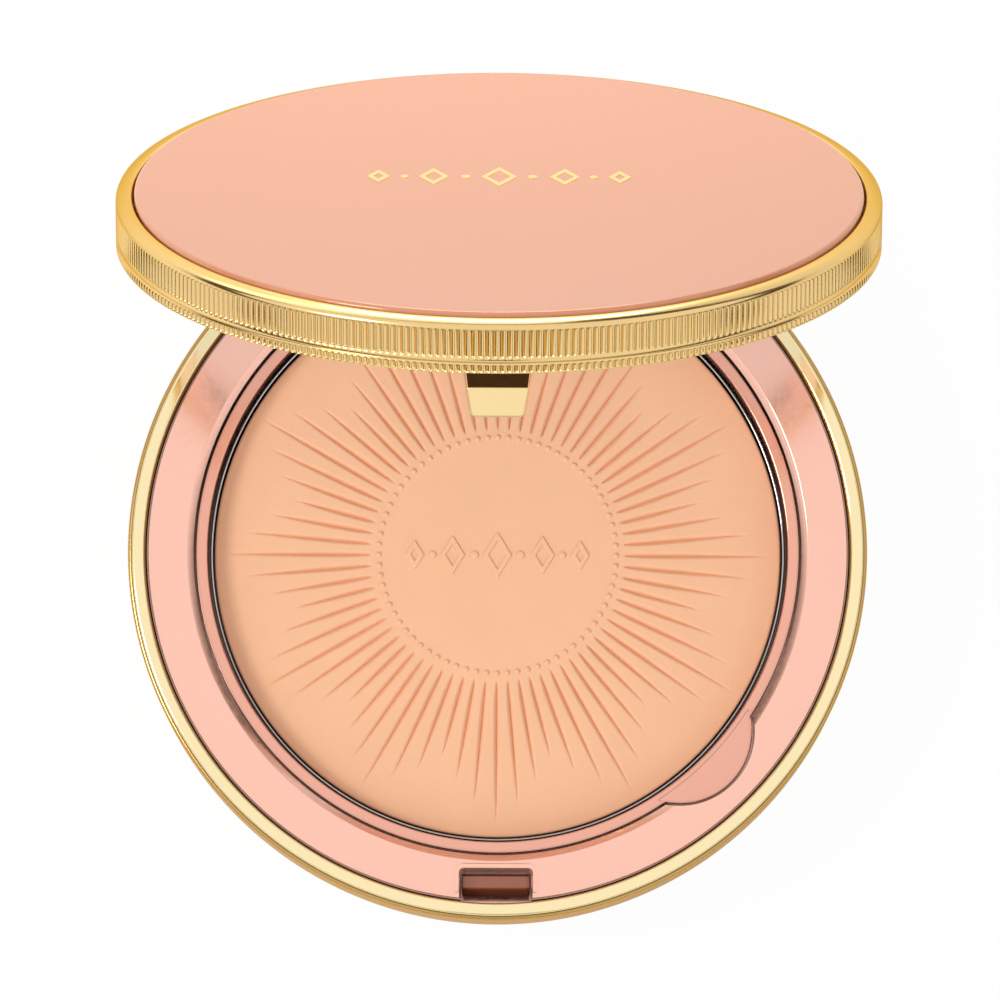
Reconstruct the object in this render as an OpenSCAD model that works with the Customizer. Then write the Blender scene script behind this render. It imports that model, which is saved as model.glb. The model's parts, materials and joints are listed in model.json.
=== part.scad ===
// Round powder compact: a gold case with a mirror lid that swings on a low rear
// hinge, a pressed-powder pan in a hinged tray, and a puff well under the tray.
// Millimetres, +Z up. The origin is the centre of the flat bottom, the front of
// the case faces -Y, and the hinge is at +Y. The lid is drawn shut and then
// swung open to its resting angle.

/* [Case] */
// Outer diameter of the case
case_d = 76.9; // [76.5:0.1:78]
// Height of the parting plane between base and lid
part_z = 17; // [16.8:0.1:17.4]
// Height where the side wall starts to curve in towards the bottom
belly_z = 9.2; // [9:0.1:10]
// Radius of the flat bottom
foot_r = 30.5; // [29.5:0.1:31]
// Wall thickness of the base shell
wall = 1.8; // [1.7:0.05:1.9]
// Height of the polished trim ring on the rim
ring_h = 1; // [0.8:0.1:1.2]

/* [Inside] */
// Drop from the rim down to the flat platform
platform_drop = 0.8; // [0.6:0.1:1]
// Drop from the rim down to the top of the tray
tray_drop = 1.7; // [1.6:0.1:1.9]
// Drop from the rim down to the powder
powder_drop = 4.8; // [4.6:0.1:5]
// Radius of the round opening that the tray drops into
well_r = 31.65; // [31.6:0.05:31.8]
// Outer radius of the powder pan
pan_r = 30; // [29.8:0.05:30.1]
// Height of the powder pan
pan_h = 3.6; // [3.2:0.1:3.8]
// Height of the tray's underside, the roof of the puff well
tray_z = 7.6; // [7.4:0.1:7.8]
// Radius of the powder puff
puff_r = 28.4; // [27:0.1:28.5]

/* [Finger tab] */
// Radius of the round finger tab
tab_r = 7.5; // [6:0.1:7.5]
// Distance from the middle of the case to the middle of the tab
tab_dist = 26.7; // [26:0.1:27]
// Direction of the tab, measured from +X
tab_angle = -44.5; // [-60:0.5:-30]

/* [Hinge] */
// Distance of the lid hinge behind the middle of the case
hinge_y = 38.9; // [38.9:0.1:39.2]
// Height of the lid hinge above the bottom
hinge_z = 8.5; // [8.4:0.1:8.8]
// Radius of the hinge knuckles
knuckle_r = 1.6; // [1.5:0.05:1.6]
// Half the width of the lid's middle knuckle
leaf_half = 5.3; // [4:0.1:6]
// Half the width of the whole hinge
hinge_half = 11; // [10:0.1:12]
// Radius of the lid hinge pin
pin_r = 0.7; // [0.6:0.05:0.8]
// Angle by which the lid stands open at rest
lid_open = 62; // [0:1:110]

/* [Lid] */
// Height of the lid's fluted side above the parting plane
band_h = 4.55; // [4.5:0.05:4.6]
// Height of the rounded bezel above the flutes
bezel_h = 0.7; // [0.6:0.05:0.8]
// Radius of the coloured disc on the lid
disc_r = 36.6; // [36.4:0.05:36.6]
// Height of the disc's edge above the bezel round it
disc_proud = 0.35; // [0.2:0.05:0.4]
// Rise of the disc's low dome
dome_h = 0.1; // [0.05:0.05:0.2]
// Radius of the mirror glass
mirror_r = 34.8; // [34:0.1:34.8]
// Thickness of the mirror glass
mirror_t = 1; // [0.8:0.1:1]

/* [Latch] */
// Width of the latch hook where it leaves the lid
hook_w = 6.8; // [6:0.1:6.8]
// Width of the latch hook at its tip
hook_tip_w = 5.2; // [4.6:0.1:5.4]
// Length of the latch hook below the parting plane
hook_l = 5.3; // [5.2:0.1:5.4]
// Width of the latch slot in the platform
slot_w = 7.4; // [7.3:0.1:7.8]

/* [Hidden] */

$fn = 96;
gap = 0.05;                     // running gap between parts that touch in use
case_r = case_d / 2;
bore_r = case_r - wall;         // inside of the base wall
ring_z = part_z - ring_h;       // where the trim ring sits on the shell
floor_z = 1.4;                  // top of the shell's floor
disc_recess = 0.6;              // depth of the pocket for the bottom disc
platform_z = part_z - platform_drop;
tray_top = part_z - tray_drop;
powder_z = part_z - powder_drop;
pan_top = powder_z + 0.3;       // the metal rim stands just above the powder
pan_wall = 0.4;                 // wall of the powder pan
pan_z = pan_top - pan_h;
tray_r = well_r - 0.1;
slope_w = 0.95;                 // width of the platform's slope down to the tray
shoulder_h = 0.4;               // the shell's rounded shoulder outside the trim ring
ring_r = case_r - 0.42;         // outer radius of the trim ring
flange_t = 1.7;                 // thickness of the finger tab and rear flange
flange_r = 33.6;                // radius of the tray's wider rear edge
flange_half = 22.4;             // half the width of that rear edge
seam = 0.25;                    // gap round the tab and the rear flange
tray_pin_y = 32.6;
tray_pin_z = tray_top - 1.4;
tray_pin_r = 0.6;
tray_barrel_r = 1.3;
tray_barrel_half = 8;
slot_back_y = -33.15;           // rear wall of the latch slot
slot_floor_z = 9;
slit_r = bore_r + 0.6;          // the leaf's channel leaves this much wall
catch_w = 7;
hook_t = 0.5;
hook_y = -35.9;                 // inner face of the latch hook
lid_z = part_z + gap;           // underside of the lid's rim
band_z = part_z + band_h;       // top of the fluted side
bezel_z = band_z + bezel_h;
lid_bore_r = case_r - 1.25;     // inside of the lid's rim
lip_r = disc_r + 0.15;          // opening in the bezel round the disc
lip_z = part_z + 3.4;           // underside of the bezel's lip
mirror_z = part_z + 1.3;        // face of the mirror when shut
core_z = mirror_z + mirror_t + 0.3;

gold = [0.86, 0.7, 0.42];
bright_gold = [0.95, 0.8, 0.5];
rose = [0.96, 0.74, 0.66];
steel = [0.75, 0.76, 0.78];

// Points along an arc, for outlines in (radius, height)
function arc(cx, cz, r, a0, a1, n = 8) =
    [for (i = [0:n]) let (a = a0 + (a1 - a0) * i / n) [cx + r * cos(a), cz + r * sin(a)]];

// The belly of the base: a quarter ellipse from the foot up to the straight side
function belly(n = 14) =
    [for (i = [0:n]) let (a = 90 * i / n)
        [foot_r + (case_r - foot_r) * sin(a), belly_z * (1 - cos(a))]];

// A curved block cut from a ring, centred on +Y
module arc_block(r0, r1, half, z0, z1) {
    intersection() {
        translate([0, 0, z0]) difference() {
            cylinder(r = r1, h = z1 - z0);
            translate([0, 0, -1]) cylinder(r = r0, h = z1 - z0 + 2);
        }
        translate([-half, 0, z0]) cube([2 * half, case_r + 10, z1 - z0]);
    }
}

// A cylinder along X between two x positions
module rod(r, x0, x1, y, z) {
    translate([x0, y, z]) rotate([0, 90, 0]) cylinder(r = r, h = x1 - x0);
}

// Swings a lid part from shut to its resting angle
module opened() {
    translate([0, hinge_y, hinge_z]) rotate([-lid_open, 0, 0])
        translate([0, -hinge_y, -hinge_z]) children();
}

// Outline of the tray's top: the round body, finger tab and rear flange
module tray_wings(grow, z0, z1) {
    translate([tab_dist * cos(tab_angle), tab_dist * sin(tab_angle), z0])
        cylinder(r = tab_r + grow, h = z1 - z0);
    intersection() {
        translate([0, 0, z0]) cylinder(r = flange_r + grow, h = z1 - z0);
        translate([-flange_half - grow, 15, z0])
            cube([2 * (flange_half + grow), 30, z1 - z0]);
    }
}

// ---- base ----

module base_shell() {
    color(gold) difference() {
        rotate_extrude() polygon(concat(
            [[0, 0]], belly(),
            arc(case_r - 0.35, ring_z + shoulder_h - 0.35, 0.35, 0, 90, 4),
            [[ring_r + 0.02, ring_z + shoulder_h], [ring_r + 0.02, ring_z],
             [bore_r, ring_z], [bore_r, 8], [33.2, floor_z], [0, floor_z]]));
        translate([0, 0, -1]) cylinder(r = foot_r - 2.45, h = 1 + disc_recess);
        arc_block(slit_r, case_r + 5, leaf_half + 0.2, hinge_z - 2.2, part_z + 1);
        arc_block(slit_r, case_r + 5, hinge_half + 0.2, hinge_z - 2.2, hinge_z + 2);
    }
}

module bottom_disc() {
    color(rose) translate([0, 0, 0.1]) cylinder(r = foot_r - 2.5, h = disc_recess - 0.1);
}

module trim_ring() {
    inner = bore_r + 0.1;
    color(bright_gold) difference() {
        rotate_extrude() polygon(concat(
            [[ring_r, ring_z], [inner, ring_z]],
            arc(inner + 0.6, part_z - 0.6, 0.6, 180, 90, 5),
            arc(ring_r - 0.3, part_z - 0.3, 0.3, 90, 0, 4)));
        arc_block(slit_r, case_r + 5, leaf_half + 0.2, ring_z - 1, part_z + 1);
    }
}

module inner_frame() {
    outer = bore_r - 0.1;
    ledge_r = 29.8;
    color(rose) difference() {
        rotate_extrude() polygon(concat(
            [[well_r, tray_top + 0.05], [well_r + slope_w, platform_z]],
            arc(outer - 0.2, platform_z - 0.2, 0.2, 90, 0, 2),
            [[outer, 8.2], [well_r + 1.2, 8.2], [well_r + 1.2, floor_z + 0.4],
             [well_r, floor_z], [well_r, 6.4], [ledge_r, 6.4],
             [ledge_r, tray_z - gap], [well_r, tray_z - gap]]));
        tray_wings(seam, tray_top - flange_t - 0.4, part_z);
        translate([-slot_w / 2, -case_r, slot_floor_z])
            cube([slot_w, case_r + slot_back_y, part_z]);
        translate([-tray_barrel_half - 0.2, 30, tray_pin_z - tray_barrel_r - 0.4])
            cube([2 * tray_barrel_half + 0.4, tray_pin_y + tray_barrel_r + 0.25 - 30, 6]);
        rod(tray_pin_r + 0.01, -12, 12, tray_pin_y, tray_pin_z);
    }
}

module puff_well() {
    color(rose) rotate_extrude() polygon([
        [0, floor_z], [29.7, floor_z], [29.7, 7.45], [28.9, 7.45],
        [28.9, floor_z + 0.8], [0, floor_z + 0.8]]);
}

module powder_puff() {
    low = floor_z + 1.1;
    high = tray_z - 0.4;
    round_r = 1.2;
    color([0.95, 0.86, 0.8]) rotate_extrude() polygon(concat(
        [[0, low]],
        arc(puff_r - round_r, low + round_r, round_r, -90, 0, 4),
        arc(puff_r - round_r, high - round_r, round_r, 0, 90, 4),
        [[0, high]]));
}

module latch_catch() {
    // Side outline in (y, z): a sloped nose over a small undercut
    color([0.5, 0.3, 0.24]) translate([-catch_w / 2, 0, 0]) rotate([90, 0, 90])
        linear_extrude(catch_w) polygon([
            [slot_back_y - 0.4, slot_floor_z], [slot_back_y - 0.4, 14.2],
            [slot_back_y - 0.6, 14.4], [-34.9, 14.4], [-35.15, 14.3],
            [hook_y + 0.15, 13.4], [hook_y + 0.15, 13.2], [-35.3, 12.75],
            [-35.3, slot_floor_z]]);
}

module base_knuckles() {
    color(gold) for (side = [0, 1]) mirror([side, 0, 0]) difference() {
        union() {
            rod(knuckle_r, leaf_half + 0.3, hinge_half, hinge_y, hinge_z);
            intersection() {
                arc_block(slit_r + 0.02, hinge_y, hinge_half, hinge_z - 1.4, hinge_z + 1.5);
                translate([leaf_half + 0.3, 0, 0]) cube([hinge_half, 60, 30]);
            }
        }
        rod(pin_r + 0.01, 0, hinge_half + 1, hinge_y, hinge_z);
    }
}

module hinge_pin() {
    color(steel) rod(pin_r, -hinge_half, hinge_half, hinge_y, hinge_z);
}

module tray_pin() {
    color(steel) rod(tray_pin_r, -11.9, 11.9, tray_pin_y, tray_pin_z);
}

// ---- tray ----

module tray() {
    pocket_r = pan_r + 0.15;
    collar_r = pan_r + 0.3;     // the opening widens above the pan
    floor_top = pan_z - 0.2;
    color([0.92, 0.69, 0.6]) difference() {
        union() {
            rotate_extrude() polygon([
                [0, tray_z], [tray_r - 0.45, tray_z],
                [tray_r, tray_top - flange_t], [tray_r, tray_top - 0.1],
                [tray_r - 0.1, tray_top], [0, tray_top]]);
            tray_wings(0, tray_top - flange_t, tray_top);
            rod(tray_barrel_r, -tray_barrel_half, tray_barrel_half, tray_pin_y, tray_pin_z);
        }
        translate([0, 0, floor_top]) cylinder(r = pocket_r, h = 20);
        translate([0, 0, pan_top]) cylinder(r = collar_r, h = 20);
        rod(tray_pin_r + 0.05, -20, 20, tray_pin_y, tray_pin_z);
    }
}

module pan_adhesive() {
    color([0.9, 0.9, 0.85]) translate([0, 0, pan_z - 0.2]) cylinder(r = 20, h = 0.2);
}

module powder_pan() {
    color(steel) difference() {
        translate([0, 0, pan_z]) cylinder(r = pan_r, h = pan_h);
        translate([0, 0, pan_z + 0.4]) cylinder(r = pan_r - pan_wall, h = pan_h);
    }
}

module powder_cake() {
    cake_r = pan_r - pan_wall - 0.02;
    color([0.95, 0.76, 0.62]) rotate_extrude() polygon([
        [0, pan_z + 0.4], [cake_r, pan_z + 0.4], [cake_r, powder_z - 0.3],
        [cake_r - 0.3, powder_z], [0, powder_z]]);
}

// ---- lid, drawn shut ----

module lid_bezel() {
    groove = 0.25;
    color(gold) opened() difference() {
        rotate_extrude() polygon(concat(
            [[lid_bore_r, lid_z], [case_r - 0.1, lid_z], [case_r, lid_z + 0.1],
             [case_r, part_z + 0.97], [case_r - groove, part_z + 1],
             [case_r - groove, part_z + 1.15], [case_r, part_z + 1.18]],
            arc(case_r - bezel_h, band_z, bezel_h, 0, 90, 6),
            arc(lip_r + 0.3, bezel_z - 0.3, 0.3, 90, 180, 4),
            [[lip_r, lip_z], [lid_bore_r, lip_z]]));
        arc_block(30, lid_bore_r + 0.75, leaf_half + 0.05, part_z - 1, part_z + 2);
    }
}

module lid_disc() {
    low = lip_z + 0.7;
    high = bezel_z + disc_proud;
    flat_r = disc_r - 0.3;
    color(rose) opened() rotate_extrude() polygon(concat(
        [[0, low], [disc_r, low]],
        arc(disc_r - 0.3, high - 0.3, 0.3, 0, 60, 3),
        [for (i = [0:9]) let (r = flat_r * (1 - i / 10)) [r, high + dome_h * (1 - pow(r / flat_r, 2))]],
        [[0, high + dome_h]]));
}

module disc_adhesive() {
    color([0.9, 0.9, 0.85]) opened() translate([0, 0, lip_z + 0.5]) cylinder(r = 30, h = 0.2);
}

module lid_core() {
    color([0.85, 0.66, 0.58]) opened() rotate_extrude() polygon([
        [0, core_z], [lid_bore_r - gap, core_z], [lid_bore_r - gap, lip_z - gap],
        [lip_r - gap, lip_z - gap], [lip_r - gap, lip_z + 0.5], [0, lip_z + 0.5]]);
}

module mirror_frame() {
    outer = lid_bore_r - gap;
    lip = mirror_r - 0.45;
    seat = mirror_r + 0.1;
    color(rose) opened() difference() {
        rotate_extrude() polygon([
            [lip, mirror_z - gap], [lip, mirror_z - 0.5], [lip + 0.55, part_z + 0.25],
            [outer - 0.15, part_z + 0.25], [outer, part_z + 0.4],
            [outer, core_z], [seat, core_z], [seat, mirror_z - gap]]);
        translate([-hook_w / 2 - gap, hook_y - hook_t - gap, part_z - 1])
            cube([hook_w + 2 * gap, hook_t + 2 * gap, 3]);
    }
}

module mirror_glass() {
    color([0.85, 0.9, 0.92]) opened() translate([0, 0, mirror_z]) cylinder(r = mirror_r, h = mirror_t);
}

module mirror_adhesive() {
    color([0.3, 0.3, 0.3]) opened() translate([0, 0, mirror_z + mirror_t]) cylinder(r = 32, h = 0.3);
}

module latch_hook() {
    tip_z = part_z - hook_l;
    color(bright_gold) opened() {
        // tapered plate, seen from the front
        translate([0, hook_y, 0]) rotate([90, 0, 0]) linear_extrude(hook_t) polygon([
            [-hook_w / 2, part_z + 1.8], [-hook_w / 2, part_z],
            [-hook_tip_w / 2, tip_z + 0.4], [-hook_tip_w / 2 + 0.4, tip_z],
            [hook_tip_w / 2 - 0.4, tip_z], [hook_tip_w / 2, tip_z + 0.4],
            [hook_w / 2, part_z], [hook_w / 2, part_z + 1.8]]);
        // barb that snaps under the catch, in (y, z)
        translate([-hook_tip_w / 2 + 0.5, 0, 0]) rotate([90, 0, 90])
            linear_extrude(hook_tip_w - 1) polygon([
                [hook_y - 0.1, tip_z + 0.1], [hook_y, tip_z + 0.1], [hook_y + 0.3, tip_z + 0.6],
                [hook_y + 0.3, tip_z + 0.85], [hook_y, tip_z + 0.95], [hook_y - 0.1, tip_z + 0.95]]);
    }
}

module hinge_leaf() {
    color(gold) opened() difference() {
        union() {
            rod(knuckle_r, -leaf_half, leaf_half, hinge_y, hinge_z);
            arc_block(slit_r + 0.05, case_r, leaf_half, hinge_z, lid_z);
            arc_block(slit_r + 0.05, lid_bore_r + 0.7, leaf_half, lid_z - 0.1, part_z + 1.9);
        }
        rod(pin_r + 0.05, -20, 20, hinge_y, hinge_z);
    }
}

base_shell();
bottom_disc();
trim_ring();
inner_frame();
puff_well();
powder_puff();
latch_catch();
base_knuckles();
hinge_pin();
tray_pin();
tray();
pan_adhesive();
powder_pan();
powder_cake();
lid_bezel();
lid_disc();
disc_adhesive();
lid_core();
mirror_frame();
mirror_glass();
mirror_adhesive();
latch_hook();
hinge_leaf();
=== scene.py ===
# %% [markdown]
# # A powder compact, finished around its construction model
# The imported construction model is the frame: it fixes every size, every place and
# every hinge. This lesson dresses it. Most visible parts are turned or pressed, so
# most pieces here start as an outline that is spun round an axis.

# %% The frame
import json
import math
import bmesh
import bpy
from mathutils import Matrix, Vector


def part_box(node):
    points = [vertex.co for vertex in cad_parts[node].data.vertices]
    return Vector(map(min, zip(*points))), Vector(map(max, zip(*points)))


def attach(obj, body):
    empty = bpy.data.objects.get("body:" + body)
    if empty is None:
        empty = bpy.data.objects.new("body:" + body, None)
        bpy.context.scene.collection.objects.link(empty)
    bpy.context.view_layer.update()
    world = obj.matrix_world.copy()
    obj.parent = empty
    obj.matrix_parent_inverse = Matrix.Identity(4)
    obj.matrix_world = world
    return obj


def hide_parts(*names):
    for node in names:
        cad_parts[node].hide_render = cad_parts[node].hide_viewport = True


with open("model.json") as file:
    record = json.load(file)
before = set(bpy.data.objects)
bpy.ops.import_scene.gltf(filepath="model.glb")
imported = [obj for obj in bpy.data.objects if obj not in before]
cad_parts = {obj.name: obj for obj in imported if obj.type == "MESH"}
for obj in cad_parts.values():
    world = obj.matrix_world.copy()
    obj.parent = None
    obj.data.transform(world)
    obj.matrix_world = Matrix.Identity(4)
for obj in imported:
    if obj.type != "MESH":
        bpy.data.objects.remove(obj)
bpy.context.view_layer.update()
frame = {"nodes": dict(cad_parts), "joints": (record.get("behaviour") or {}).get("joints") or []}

# %% [markdown]
# ## The camera
# The compact is seen from almost straight above through a long lens, which keeps the
# round rims nearly round. The camera aims at a point on the parting plane.

# %% Camera
MM = 0.001
AIM = Vector((0.23, 5.24, 17.0)) * MM
ELEVATION = math.radians(83.5)
TURN = math.radians(0.29)
DISTANCE = 817.5 * MM


def add_camera():
    """A long-lens camera that looks down on the case from its front."""
    towards = Vector((math.sin(TURN) * math.cos(ELEVATION),
                      -math.cos(TURN) * math.cos(ELEVATION),
                      math.sin(ELEVATION)))
    data = bpy.data.cameras.new("camera")
    data.lens = 283.0
    data.sensor_width = 36.0
    data.clip_start = 0.05
    data.clip_end = 20.0
    camera = bpy.data.objects.new("camera", data)
    camera.location = AIM + towards * DISTANCE
    camera.rotation_euler = (-towards).to_track_quat("-Z", "Y").to_euler()
    bpy.context.scene.collection.objects.link(camera)
    bpy.context.scene.camera = camera
    return camera


camera = add_camera()
print("camera at", [round(v, 3) for v in camera.location])

# %% [markdown]
# ## Measures
# Sizes come from the frame. The lid stands open at rest, so its own measures are
# taken with its corners swung shut again about the hinge.

# %% Measures from the frame
HINGE = next(j for j in frame["joints"] if j["name"] == "lid_hinge")
HINGE_AT = Vector(HINGE["pos_m"])
OPEN = math.radians(-HINGE["range_deg"][0])
SWING = Matrix.Rotation(-OPEN, 4, "X")


def swung(matrix_4x4):
    """The same turn, taken about the lid hinge."""
    return Matrix.Translation(HINGE_AT) @ matrix_4x4 @ Matrix.Translation(-HINGE_AT)


def shut_box(node):
    """Lowest and highest corner of a lid node when the lid is shut."""
    back = swung(SWING.inverted())
    points = [back @ v.co for v in frame["nodes"][node].data.vertices]
    return [Vector([pick(p[i] for p in points) for i in range(3)]) for pick in (min, max)]


def top(node):
    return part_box(node)[1][2]


CASE_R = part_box("base_shell")[1][0]
PART_Z = top("trim_ring")
RING_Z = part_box("trim_ring")[0][2]
PLATFORM_Z = top("inner_frame")
TRAY_Z = top("tray")
POWDER_Z = top("powder_cake")
CAKE_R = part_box("powder_cake")[1][0]
PAN_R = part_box("powder_pan")[1][0]
PAN_Z = top("powder_pan")
DISC_R = shut_box("lid_disc")[1][0]
print("case radius", round(CASE_R / MM, 2), "mm, parting plane at", round(PART_Z / MM, 2), "mm")

# %% [markdown]
# ## Modelling helpers
# A turned part is an outline in (radius, height) that bmesh spins once round the Z
# axis. Round corners in an outline are short arcs. Cuts such as the latch slot are
# boolean modifiers, applied at once, so each finished piece is one plain mesh.

# %% Outlines, spinning and cutting


def arc(r_mid, z_mid, radius, start, end, steps=8):
    """Points of an arc in (radius, height); the angles are in degrees."""
    angles = [math.radians(start + (end - start) * i / steps) for i in range(steps + 1)]
    return [(r_mid + radius * math.cos(a), z_mid + radius * math.sin(a)) for a in angles]


def outline_mesh(outline, closed):
    """A bmesh that holds one outline of (radius, height), as edges in the XZ plane."""
    bm = bmesh.new()
    verts = [bm.verts.new((r, 0.0, z)) for r, z in outline]
    pairs = list(zip(verts, verts[1:]))
    if closed:
        pairs.append((verts[-1], verts[0]))
    for pair in pairs:
        bm.edges.new(pair)
    return bm


def spun(outline, steps=256, closed=True):
    """A full turn of an outline round the Z axis, as a bmesh."""
    bm = outline_mesh(outline, closed)
    bmesh.ops.spin(bm, geom=bm.verts[:] + bm.edges[:], axis=(0, 0, 1), cent=(0, 0, 0),
                   dvec=(0, 0, 0), angle=2 * math.pi, steps=steps, use_merge=True,
                   use_duplicate=False)
    bmesh.ops.remove_doubles(bm, verts=bm.verts[:], dist=1e-7)
    bmesh.ops.recalc_face_normals(bm, faces=bm.faces[:])
    return bm


def spun_wedge(outline, start, turn, steps=24):
    """A closed outline spun through part of a turn, as a closed solid."""
    bm = outline_mesh(outline, closed=True)
    bmesh.ops.contextual_create(bm, geom=bm.edges[:])
    bmesh.ops.rotate(bm, verts=bm.verts[:], cent=(0, 0, 0), matrix=Matrix.Rotation(start, 3, "Z"))
    bmesh.ops.spin(bm, geom=bm.verts[:] + bm.edges[:] + bm.faces[:], axis=(0, 0, 1),
                   cent=(0, 0, 0), dvec=(0, 0, 0), angle=turn, steps=steps,
                   use_merge=False, use_duplicate=False)
    bmesh.ops.recalc_face_normals(bm, faces=bm.faces[:])
    return bm


def spun_in_sectors(outline, steps, sectors, closed=True):
    """A full turn with very many steps: one sector is spun, copied round and merged."""
    bm = outline_mesh(outline, closed)
    bmesh.ops.spin(bm, geom=bm.verts[:] + bm.edges[:], axis=(0, 0, 1), cent=(0, 0, 0),
                   dvec=(0, 0, 0), angle=2 * math.pi / sectors, steps=steps // sectors,
                   use_merge=False, use_duplicate=False)
    first = bm.verts[:] + bm.edges[:] + bm.faces[:]
    for index in range(1, sectors):
        copy = bmesh.ops.duplicate(bm, geom=first)["geom"]
        verts = [g for g in copy if isinstance(g, bmesh.types.BMVert)]
        bmesh.ops.rotate(bm, verts=verts, cent=(0, 0, 0),
                         matrix=Matrix.Rotation(2 * math.pi * index / sectors, 3, "Z"))
    bmesh.ops.remove_doubles(bm, verts=bm.verts[:], dist=1e-7)
    bmesh.ops.recalc_face_normals(bm, faces=bm.faces[:])
    return bm


def spread(outline_mm):
    """An outline given in millimetres, in metres."""
    return [(r * MM, z * MM) for r, z in outline_mm]


def block(x0, x1, y0, y1, z0, z1):
    """A box bmesh between two corners in metres."""
    bm = bmesh.new()
    bmesh.ops.create_cube(bm, size=1.0)
    bmesh.ops.scale(bm, vec=(x1 - x0, y1 - y0, z1 - z0), verts=bm.verts[:])
    bmesh.ops.translate(bm, vec=((x0 + x1) / 2, (y0 + y1) / 2, (z0 + z1) / 2), verts=bm.verts[:])
    return bm


def post(x, y, radius, z0, z1, steps=96):
    """An upright cylinder bmesh in metres."""
    bm = bmesh.new()
    bmesh.ops.create_cone(bm, cap_ends=True, segments=steps, radius1=radius,
                          radius2=radius, depth=z1 - z0)
    bmesh.ops.translate(bm, vec=(x, y, (z0 + z1) / 2), verts=bm.verts[:])
    return bm


def as_object(bm, name):
    mesh = bpy.data.meshes.new(name)
    bm.to_mesh(mesh)
    bm.free()
    piece = bpy.data.objects.new(name, mesh)
    bpy.context.scene.collection.objects.link(piece)
    return piece


def settle(piece):
    """Applies every modifier on a piece and puts the result back as its mesh."""
    depsgraph = bpy.context.evaluated_depsgraph_get()
    mesh = bpy.data.meshes.new_from_object(piece.evaluated_get(depsgraph))
    piece.modifiers.clear()
    piece.data = mesh
    return piece


def carve(piece, tool_bm, operation="DIFFERENCE"):
    """Cuts a bmesh out of a piece, or joins it on."""
    tool = as_object(tool_bm, "tool")
    cut = piece.modifiers.new("cut", "BOOLEAN")
    cut.operation = operation
    cut.solver = "EXACT"
    cut.object = tool
    settle(piece)
    bpy.data.objects.remove(tool)
    return piece


def soften(piece, width, segments=3, angle=30):
    """Rounds the sharp edges of a piece by a width in metres."""
    bevel = piece.modifiers.new("bevel", "BEVEL")
    bevel.width = width
    bevel.segments = segments
    bevel.profile = 0.5
    bevel.limit_method = "ANGLE"
    bevel.angle_limit = math.radians(angle)
    bevel.use_clamp_overlap = True
    bevel.harden_normals = False
    return settle(piece)


def dress(piece, material, body, stands_for=(), sharp=35, flat_faces=True):
    """Shades a piece, gives it its material and hangs it on its body."""
    for polygon in piece.data.polygons:
        polygon.use_smooth = True
    piece.data.set_sharp_from_angle(angle=math.radians(sharp))
    if flat_faces:
        weighted = piece.modifiers.new("normals", "WEIGHTED_NORMAL")
        weighted.keep_sharp = True
    piece.data.materials.clear()
    piece.data.materials.append(material)
    for polygon in piece.data.polygons:
        polygon.material_index = 0
    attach(piece, body)
    if stands_for:
        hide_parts(*stands_for)
    print(piece.name, len(piece.data.polygons), "faces")
    return piece


def swing_open(piece):
    """Turns a lid piece modelled shut to where the lid stands at rest."""
    piece.data.transform(swung(SWING))
    return piece

# %% [markdown]
# ## Colours and shared surface effects
# Colours are named as they look and turned into linear light once. Four effects are
# used by several finishes, so each is a node group: a fine grain that breaks up a
# surface, a turned grain that follows the lathe, a soft haze of handling marks, and
# a shade painted into the colour in the crevices where two surfaces meet.

# %% Colours


def seen(red, green, blue):
    """Linear colour from the three values of an 8-bit screen colour."""
    def linear(v):
        v = v / 255
        return v / 12.92 if v <= 0.04045 else ((v + 0.055) / 1.055) ** 2.4
    return (linear(red), linear(green), linear(blue), 1.0)


ROSE = seen(252, 197, 177)
# the tray's rose, darkened from the platform's as painted shade from the collar round the pan
ROSE_TRAY_SHADED = seen(240, 176, 154)
ROSE_LACQUER = seen(210, 145, 111)
ROSE_PALE = seen(254, 224, 210)
GOLD_POLISHED = seen(254, 234, 184)
GOLD_HOOK = seen(252, 224, 165)
GOLD_SATIN = seen(212, 172, 104)
GOLD_BEZEL = seen(240, 206, 142)
GOLD_EDGE = seen(228, 192, 124)
POWDER = seen(243, 190, 152)
# dark rose-brown of the catch: partly its own tone, partly painted shade of the recessed slot
CATCH_SHADED_BROWN = seen(158, 100, 80)
STEEL = seen(200, 203, 206)
PAN_METAL = seen(214, 222, 226)
PUFF = seen(250, 228, 212)
ADHESIVE = seen(235, 232, 222)

# %% Node group helpers


def new_group(name, inputs, outputs):
    """A shader group with float or colour sockets, and its two end nodes."""
    group = bpy.data.node_groups.new(name, "ShaderNodeTree")
    for label, kind, value in inputs:
        socket = group.interface.new_socket(label, in_out="INPUT", socket_type=kind)
        if value is not None:
            socket.default_value = value
    for label, kind in outputs:
        group.interface.new_socket(label, in_out="OUTPUT", socket_type=kind)
    start = group.nodes.new("NodeGroupInput")
    end = group.nodes.new("NodeGroupOutput")
    return group, start, end


def math_node(tree, operation, first, second=None):
    node = tree.nodes.new("ShaderNodeMath")
    node.operation = operation
    for index, value in enumerate((first, second)):
        if value is None:
            continue
        if isinstance(value, (int, float)):
            node.inputs[index].default_value = value
        else:
            tree.links.new(value, node.inputs[index])
    return node.outputs[0]


def noise_node(tree, vector, scale, detail=3.0, roughness=0.55):
    node = tree.nodes.new("ShaderNodeTexNoise")
    node.inputs["Detail"].default_value = detail
    node.inputs["Roughness"].default_value = roughness
    if isinstance(scale, (int, float)):
        node.inputs["Scale"].default_value = scale
    else:
        tree.links.new(scale, node.inputs["Scale"])
    tree.links.new(vector, node.inputs["Vector"])
    return node.outputs["Fac"]


# %% Fine grain group
FLOAT = "NodeSocketFloat"
VECTOR = "NodeSocketVector"


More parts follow.
